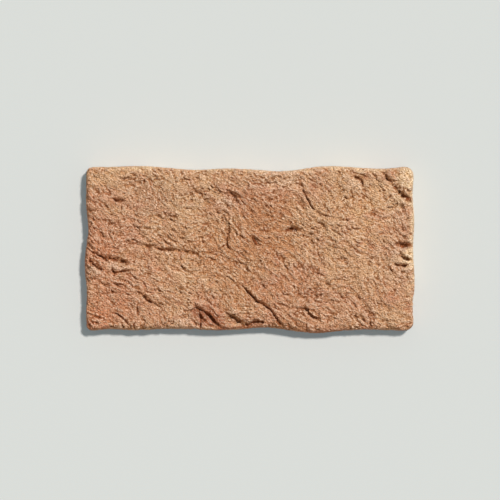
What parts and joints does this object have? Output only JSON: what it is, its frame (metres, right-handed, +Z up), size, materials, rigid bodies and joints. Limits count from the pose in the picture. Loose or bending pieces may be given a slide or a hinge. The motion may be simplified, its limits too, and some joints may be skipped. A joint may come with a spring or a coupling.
{
  "type": "clay brick",
  "caption": "Thin hand-moulded clay brick with wavy sides, worn edges and one rough face with deep creases, folds and scars.",
  "frame": {"origin": "centre of the bed, the flat face that the brick lies on", "axes": "+X along the length, +Y across the width, +Z up through the creased face"},
  "size_m": [0.2016, 0.102, 0.0204],
  "materials": {
    "fired_clay": "matte"
  },
  "bodies": {
    "root": {"brick": "fired_clay"}
  },
  "joints": []
}
